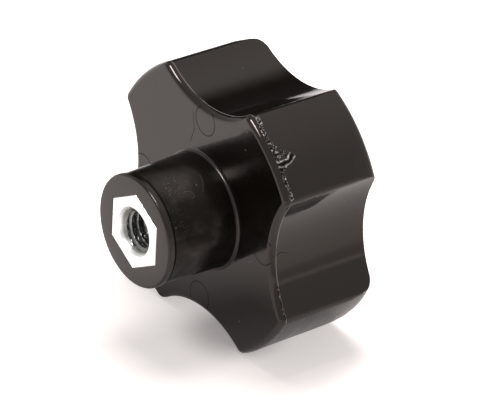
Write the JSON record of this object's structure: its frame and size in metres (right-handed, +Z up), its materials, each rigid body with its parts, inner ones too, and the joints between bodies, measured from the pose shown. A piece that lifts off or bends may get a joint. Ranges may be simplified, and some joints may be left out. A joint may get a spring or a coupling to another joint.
{
  "type": "star knob",
  "caption": "Lobed hand knob moulded in black plastic around a hexagonal steel insert with a blind threaded hole in its hub.",
  "frame": {"origin": "centre of the hub's flat end face, on the thread axis", "axes": "-Y out of the thread's mouth, +Y through the head, +Z up with the knob lying on two lobes"},
  "size_m": [0.0466, 0.035, 0.0466],
  "materials": {
    "black_plastic": "gloss with a finely worn grain on the lobes",
    "plated_steel": "bright zinc plate"
  },
  "bodies": {
    "root": {"knob_body": "black_plastic", "threaded_insert": "plated_steel"}
  },
  "joints": []
}
